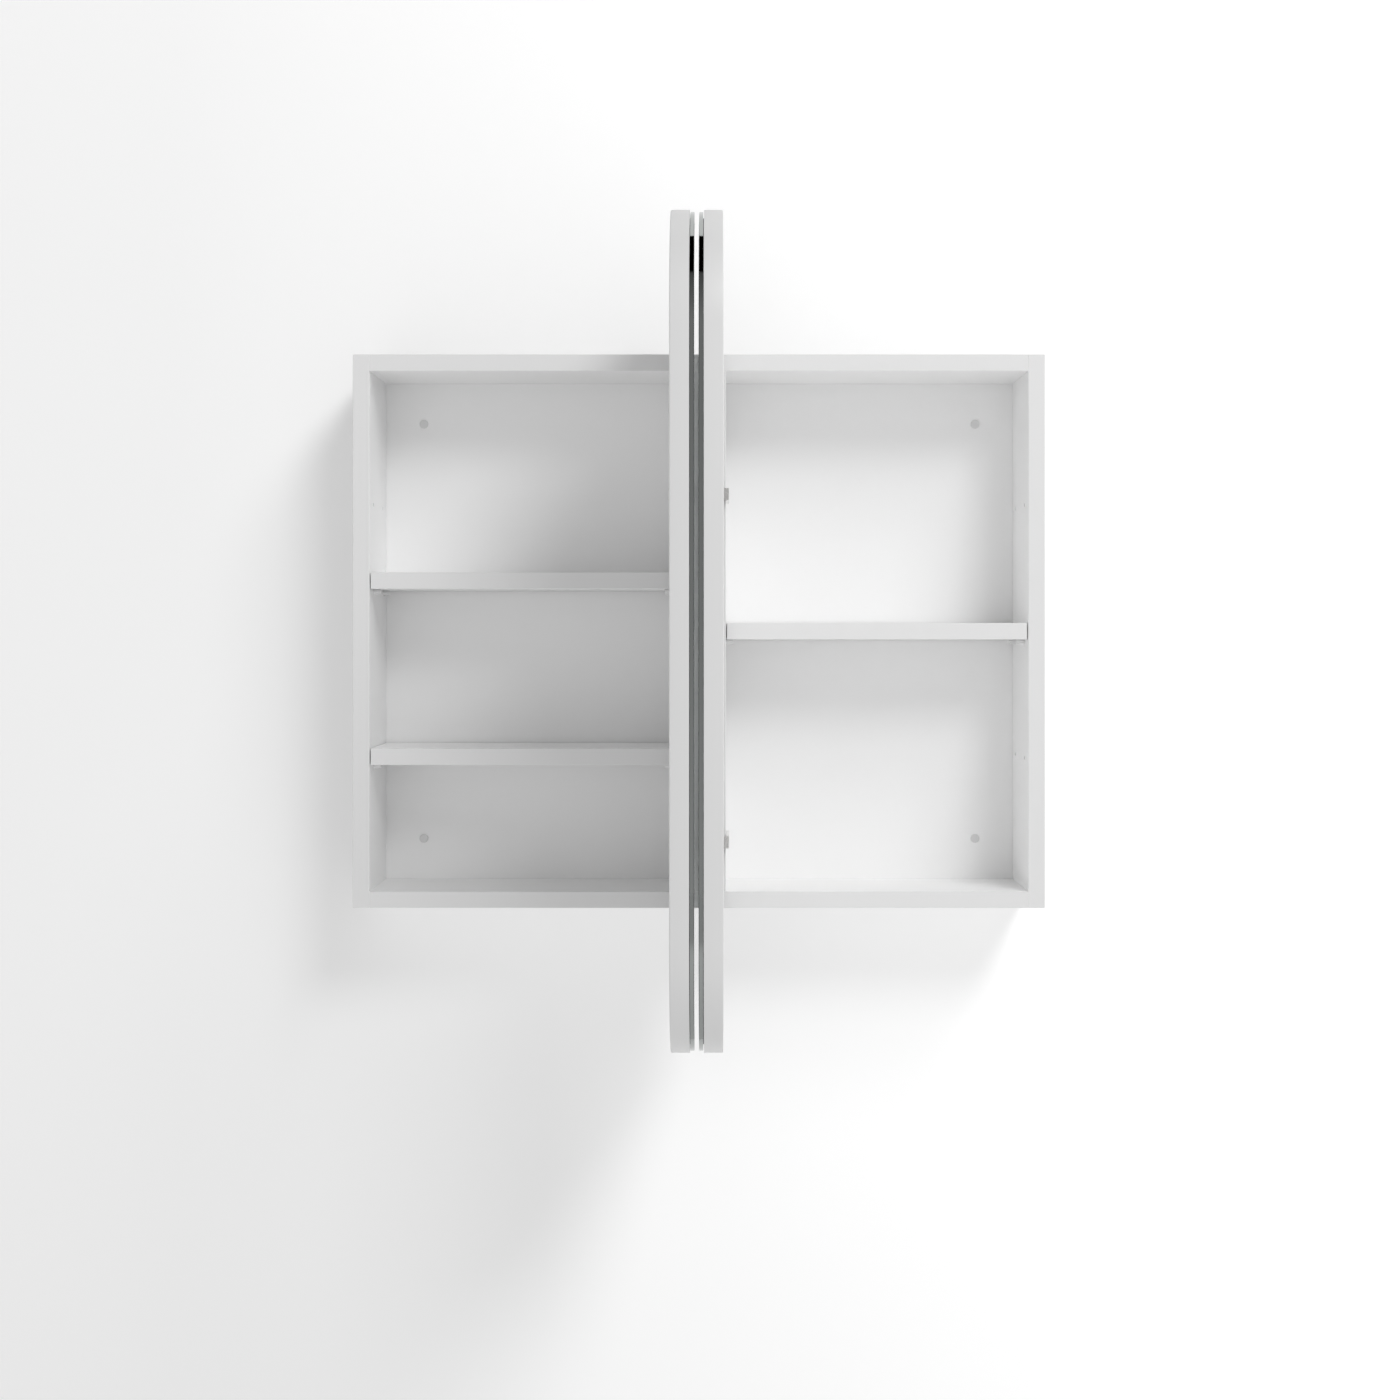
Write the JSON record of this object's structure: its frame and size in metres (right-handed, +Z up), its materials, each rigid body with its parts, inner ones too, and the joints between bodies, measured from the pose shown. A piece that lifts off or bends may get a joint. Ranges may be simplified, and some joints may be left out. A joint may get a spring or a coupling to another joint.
{
  "type": "hanging wall cabinet",
  "caption": "Shallow wall-hung storage cabinet with a centre divider, shelves on both sides and a pair of tall round-cornered mirror doors hinged back to back in the middle.",
  "frame": {"origin": "middle of the cabinet on the plane of the wall: half-way between its sides, half-way up, on the rear face", "axes": "+X to the right seen from the front, +Y into the wall, +Z up; the front faces -Y"},
  "size_m": [0.75, 0.5518, 0.798],
  "materials": {
    "board_lacquer": "white satin lacquer on board",
    "back_lacquer": "white satin lacquer on thin board",
    "door_lacquer": "white satin lacquer on board",
    "mirror_glass": "silvered float glass, polished edge",
    "mirror_tape": "mounting film",
    "hinge_steel": "nickel-plated steel",
    "shelf_pin_plastic": "white moulded plastic",
    "cap_plastic": "light grey moulded plastic",
    "spacer_plastic": "moulded plastic",
    "dowel_beech": "plain beech"
  },
  "bodies": {
    "cabinet": {"back_panel": "back_lacquer", "bottom_panel": "board_lacquer", "corner_dowels": "dowel_beech", "divider_strip": "board_lacquer", "fixing_caps": "cap_plastic", "hinge_arm_left_lower": "hinge_steel", "hinge_arm_left_upper": "hinge_steel", "hinge_arm_right_lower": "hinge_steel", "hinge_arm_right_upper": "hinge_steel", "hinge_arm_screws_left_lower": "hinge_steel", "hinge_arm_screws_left_upper": "hinge_steel", "hinge_arm_screws_right_lower": "hinge_steel", "hinge_arm_screws_right_upper": "hinge_steel", "shelf_left_lower": "board_lacquer", "shelf_left_upper": "board_lacquer", "shelf_pins_left_lower": "shelf_pin_plastic", "shelf_pins_left_upper": "shelf_pin_plastic", "shelf_pins_right": "shelf_pin_plastic", "shelf_right": "board_lacquer", "side_left": "board_lacquer", "side_right": "board_lacquer", "top_panel": "board_lacquer", "upright_dowels": "dowel_beech", "upright_left": "board_lacquer", "upright_right": "board_lacquer", "wall_spacers": "spacer_plastic"},
    "door_left": {"door_board_left": "door_lacquer", "hinge_cup_left_lower": "hinge_steel", "hinge_cup_left_upper": "hinge_steel", "hinge_cup_screws_left_lower": "hinge_steel", "hinge_cup_screws_left_upper": "hinge_steel", "hinge_pin_left_lower": "hinge_steel", "hinge_pin_left_upper": "hinge_steel", "mirror_glue_left": "mirror_tape", "mirror_left": "mirror_glass"},
    "door_right": {"door_board_right": "door_lacquer", "hinge_cup_right_lower": "hinge_steel", "hinge_cup_right_upper": "hinge_steel", "hinge_cup_screws_right_lower": "hinge_steel", "hinge_cup_screws_right_upper": "hinge_steel", "hinge_pin_right_lower": "hinge_steel", "hinge_pin_right_upper": "hinge_steel", "mirror_glue_right": "mirror_tape", "mirror_right": "mirror_glass"}
  },
  "joints": [
    {"name": "left_door_hinge", "type": "hinge", "parent": "cabinet", "child": "door_left", "pos_m": [-0.0099, -0.1567, 0], "axis": [0, 0, -1], "range_deg": [0, 90]},
    {"name": "right_door_hinge", "type": "hinge", "parent": "cabinet", "child": "door_right", "pos_m": [0.0099, -0.1567, 0], "axis": [0, 0, 1], "range_deg": [0, 90]}
  ]
}
